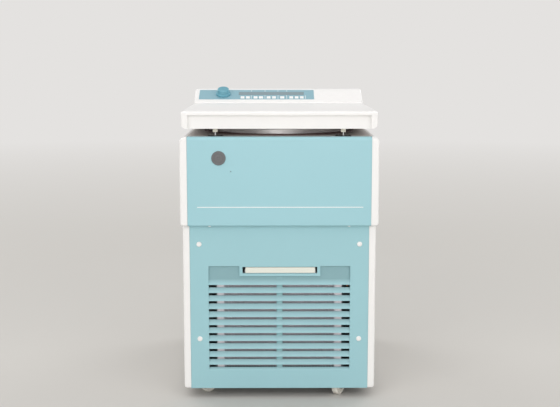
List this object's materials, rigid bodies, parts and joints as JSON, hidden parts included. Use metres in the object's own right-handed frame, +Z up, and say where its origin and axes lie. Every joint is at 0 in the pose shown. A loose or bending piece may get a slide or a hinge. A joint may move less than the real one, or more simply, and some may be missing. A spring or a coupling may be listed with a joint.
{
  "type": "refrigerated centrifuge",
  "caption": "Floor-standing refrigerated laboratory centrifuge with hinged lid, swing-out rotor, sloped keypad console and louvred base on casters.",
  "frame": {"origin": "on the floor, under the middle of the case", "axes": "+X to the user's right, -Y the front, +Z up"},
  "size_m": [0.56, 0.6931, 0.8792],
  "materials": {
    "frame_steel": "zinc-plated sheet",
    "deck_paint": "light grey powder coat",
    "case_white": "white moulded cover, satin",
    "lid_white": "white moulded lid, satin",
    "panel_teal": "teal powder coat",
    "grille_teal": "teal powder coat",
    "screw_caps": "white nylon caps",
    "rear_sheet": "white powder coat",
    "plug_grey": "grey moulded plug",
    "tray_cream": "cream moulded tray",
    "bowl_steel": "drawn stainless steel",
    "gasket_rubber": "dark silicone rubber",
    "foam": "rigid foam",
    "copper": "copper pipe",
    "motor_paint": "dark grey paint",
    "mount_rubber": "black rubber",
    "shaft_steel": "ground steel",
    "rotor_aluminium": "anodised aluminium",
    "liner_grey": "light grey enamelled steel",
    "latch_beige": "beige striker block on a steel stem",
    "plate_black": "black guide plate",
    "strut_black": "black gas strut cylinder",
    "overlay_teal": "matt printed membrane",
    "knob_teal": "teal moulded knob",
    "key_white": "white key caps",
    "compressor_black": "black enamel",
    "condenser_fins": "aluminium fins and galvanised end plates",
    "fan_blades": "black moulded fan",
    "box_grey": "grey sheet box",
    "inlet_black": "black moulded inlet",
    "fork_steel": "zinc-plated fork",
    "wheel_nylon": "off-white nylon wheel"
  },
  "bodies": {
    "root": {"chassis": "frame_steel", "top_deck": "deck_paint", "upper_side_left": "case_white", "upper_side_right": "case_white", "lower_side_left": "case_white", "lower_side_right": "case_white", "upper_front_panel": "panel_teal", "grille_panel": "grille_teal", "panel_screws": "screw_caps", "rear_panel": "rear_sheet", "chamber_bowl": "bowl_steel", "bowl_gasket": "gasket_rubber", "bowl_insulation": "foam", "refrigerant_circuit": "copper", "drive_motor": "motor_paint", "motor_mounts": "mount_rubber", "lid_hinges": "shaft_steel", "latch_plates": "plate_black", "console_housing": "lid_white", "control_overlay": "overlay_teal", "compressor": "compressor_black", "condenser": "condenser_fins", "fan_motor": "motor_paint", "electronics_box": "box_grey", "power_inlet": "inlet_black"},
    "lid": {"lid_cover": "lid_white", "lid_liner": "liner_grey", "lid_latch_pins": "latch_beige"},
    "latches": {"latch_shaft": "shaft_steel"},
    "cylinders": {"strut_cylinders": "strut_black"},
    "rods": {"strut_rods": "shaft_steel"},
    "rotor": {"drive_shaft": "shaft_steel", "rotor_yoke": "rotor_aluminium"},
    "bucket_1": {"bucket_1": "rotor_aluminium"},
    "bucket_2": {"bucket_2": "rotor_aluminium"},
    "bucket_3": {"bucket_3": "rotor_aluminium"},
    "bucket_4": {"bucket_4": "rotor_aluminium"},
    "knob": {"control_knob": "knob_teal"},
    "key_1": {"key_1": "key_white"},
    "key_2": {"key_2": "key_white"},
    "key_3": {"key_3": "key_white"},
    "key_4": {"key_4": "key_white"},
    "key_5": {"key_5": "key_white"},
    "key_6": {"key_6": "key_white"},
    "key_7": {"key_7": "key_white"},
    "key_8": {"key_8": "key_white"},
    "key_9": {"key_9": "key_white"},
    "key_10": {"key_10": "key_white"},
    "plug": {"release_plug": "plug_grey"},
    "tray": {"condensate_tray": "tray_cream"},
    "fan": {"condenser_fan": "fan_blades"},
    "switch": {"mains_switch": "inlet_black"},
    "caster_front_left": {"caster_fork_front_left": "fork_steel"},
    "wheel_front_left": {"caster_wheel_front_left": "wheel_nylon"},
    "caster_front_right": {"caster_fork_front_right": "fork_steel"},
    "wheel_front_right": {"caster_wheel_front_right": "wheel_nylon"},
    "caster_rear_left": {"caster_fork_rear_left": "fork_steel"},
    "wheel_rear_left": {"caster_wheel_rear_left": "wheel_nylon"},
    "caster_rear_right": {"caster_fork_rear_right": "fork_steel"},
    "wheel_rear_right": {"caster_wheel_rear_right": "wheel_nylon"}
  },
  "joints": [
    {"name": "lid_hinge", "type": "hinge", "parent": "root", "child": "lid", "pos_m": [0, 0.156, 0.816], "axis": [-1, 0, 0], "range_deg": [-2.25, 65]},
    {"name": "strut_swing", "type": "hinge", "parent": "root", "child": "cylinders", "pos_m": [0, 0.14214, 0.66664], "axis": [-1, 0, 0], "range_deg": [-1.13, 32.51]},
    {"name": "strut_rod_swing", "type": "hinge", "parent": "lid", "child": "rods", "pos_m": [0, 0.00953, 0.78366], "axis": [-1, 0, 0], "range_deg": [-32.51, 1.13]},
    {"name": "latch_turn", "type": "hinge", "parent": "root", "child": "latches", "pos_m": [0, -0.326, 0.7], "axis": [-1, 0, 0], "range_deg": [0, 24]},
    {"name": "rotor_spin", "type": "hinge", "parent": "root", "child": "rotor", "pos_m": [0, -0.075, 0.685], "axis": [0, 0, 1], "continuous": true},
    {"name": "bucket_1_swing", "type": "hinge", "parent": "rotor", "child": "bucket_1", "pos_m": [0.105, -0.075, 0.685], "axis": [0, -1, 0], "range_deg": [0, 90]},
    {"name": "bucket_2_swing", "type": "hinge", "parent": "rotor", "child": "bucket_2", "pos_m": [0, 0.03, 0.685], "axis": [1, 0, 0], "range_deg": [0, 90]},
    {"name": "bucket_3_swing", "type": "hinge", "parent": "rotor", "child": "bucket_3", "pos_m": [-0.105, -0.075, 0.685], "axis": [0, 1, 0], "range_deg": [0, 90]},
    {"name": "bucket_4_swing", "type": "hinge", "parent": "rotor", "child": "bucket_4", "pos_m": [0, -0.18, 0.685], "axis": [-1, 0, 0], "range_deg": [0, 90]},
    {"name": "knob_turn", "type": "hinge", "parent": "root", "child": "knob", "pos_m": [-0.182, 0.21486, 0.86139], "axis": [0, -0.4211, 0.907], "continuous": true},
    {"name": "key_1_press", "type": "slide", "parent": "root", "child": "key_1", "axis": [0, 0.4211, -0.907], "range_m": [0, 0.0008], "stiffness_N_per_m": 700, "springref_m": -0.0007},
    {"name": "key_2_press", "type": "slide", "parent": "root", "child": "key_2", "axis": [0, 0.4211, -0.907], "range_m": [0, 0.0008], "stiffness_N_per_m": 700, "springref_m": -0.0007},
    {"name": "key_3_press", "type": "slide", "parent": "root", "child": "key_3", "axis": [0, 0.4211, -0.907], "range_m": [0, 0.0008], "stiffness_N_per_m": 700, "springref_m": -0.0007},
    {"name": "key_4_press", "type": "slide", "parent": "root", "child": "key_4", "axis": [0, 0.4211, -0.907], "range_m": [0, 0.0008], "stiffness_N_per_m": 700, "springref_m": -0.0007},
    {"name": "key_5_press", "type": "slide", "parent": "root", "child": "key_5", "axis": [0, 0.4211, -0.907], "range_m": [0, 0.0008], "stiffness_N_per_m": 700, "springref_m": -0.0007},
    {"name": "key_6_press", "type": "slide", "parent": "root", "child": "key_6", "axis": [0, 0.4211, -0.907], "range_m": [0, 0.0008], "stiffness_N_per_m": 700, "springref_m": -0.0007},
    {"name": "key_7_press", "type": "slide", "parent": "root", "child": "key_7", "axis": [0, 0.4211, -0.907], "range_m": [0, 0.0008], "stiffness_N_per_m": 700, "springref_m": -0.0007},
    {"name": "key_8_press", "type": "slide", "parent": "root", "child": "key_8", "axis": [0, 0.4211, -0.907], "range_m": [0, 0.0008], "stiffness_N_per_m": 700, "springref_m": -0.0007},
    {"name": "key_9_press", "type": "slide", "parent": "root", "child": "key_9", "axis": [0, 0.4211, -0.907], "range_m": [0, 0.0008], "stiffness_N_per_m": 700, "springref_m": -0.0007},
    {"name": "key_10_press", "type": "slide", "parent": "root", "child": "key_10", "axis": [0, 0.4211, -0.907], "range_m": [0, 0.0008], "stiffness_N_per_m": 700, "springref_m": -0.0007},
    {"name": "plug_pull", "type": "slide", "parent": "root", "child": "plug", "axis": [0, -1, 0], "range_m": [0, 0.012]},
    {"name": "tray_slide", "type": "slide", "parent": "root", "child": "tray", "axis": [0, -1, 0], "range_m": [0, 0.12]},
    {"name": "fan_spin", "type": "hinge", "parent": "root", "child": "fan", "pos_m": [0, -0.25, 0.214], "axis": [0, 1, 0], "continuous": true},
    {"name": "switch_rock", "type": "hinge", "parent": "root", "child": "switch", "pos_m": [0.185, 0.336, 0.176], "axis": [-1, 0, 0], "range_deg": [0, 16]},
    {"name": "swivel_front_left", "type": "hinge", "parent": "root", "child": "caster_front_left", "pos_m": [-0.1855, -0.276, 0.07], "axis": [0, 0, 1], "continuous": true},
    {"name": "roll_front_left", "type": "hinge", "parent": "caster_front_left", "child": "wheel_front_left", "pos_m": [-0.2095, -0.26898, 0.025], "axis": [-0.2807, -0.9598, 0], "continuous": true},
    {"name": "swivel_front_right", "type": "hinge", "parent": "root", "child": "caster_front_right", "pos_m": [0.1855, -0.276, 0.07], "axis": [0, 0, 1], "continuous": true},
    {"name": "roll_front_right", "type": "hinge", "parent": "caster_front_right", "child": "wheel_front_right", "pos_m": [0.17192, -0.29699, 0.025], "axis": [0.8396, -0.5432, 0], "continuous": true},
    {"name": "swivel_rear_left", "type": "hinge", "parent": "root", "child": "caster_rear_left", "pos_m": [-0.1855, 0.276, 0.07], "axis": [0, 0, 1], "continuous": true},
    {"name": "roll_rear_left", "type": "hinge", "parent": "caster_rear_left", "child": "wheel_rear_left", "pos_m": [-0.19724, 0.29807, 0.025], "axis": [-0.8829, -0.4695, 0], "continuous": true},
    {"name": "swivel_rear_right", "type": "hinge", "parent": "root", "child": "caster_rear_right", "pos_m": [0.1855, 0.276, 0.07], "axis": [0, 0, 1], "continuous": true},
    {"name": "roll_rear_right", "type": "hinge", "parent": "caster_rear_right", "child": "wheel_rear_right", "pos_m": [0.20089, 0.2957, 0.025], "axis": [-0.788, 0.6157, 0], "continuous": true}
  ],
  "couplings": [
    {"joint": "strut_swing", "follows": "lid_hinge", "ratio": 0.5},
    {"joint": "strut_rod_swing", "follows": "lid_hinge", "ratio": -0.5}
  ]
}
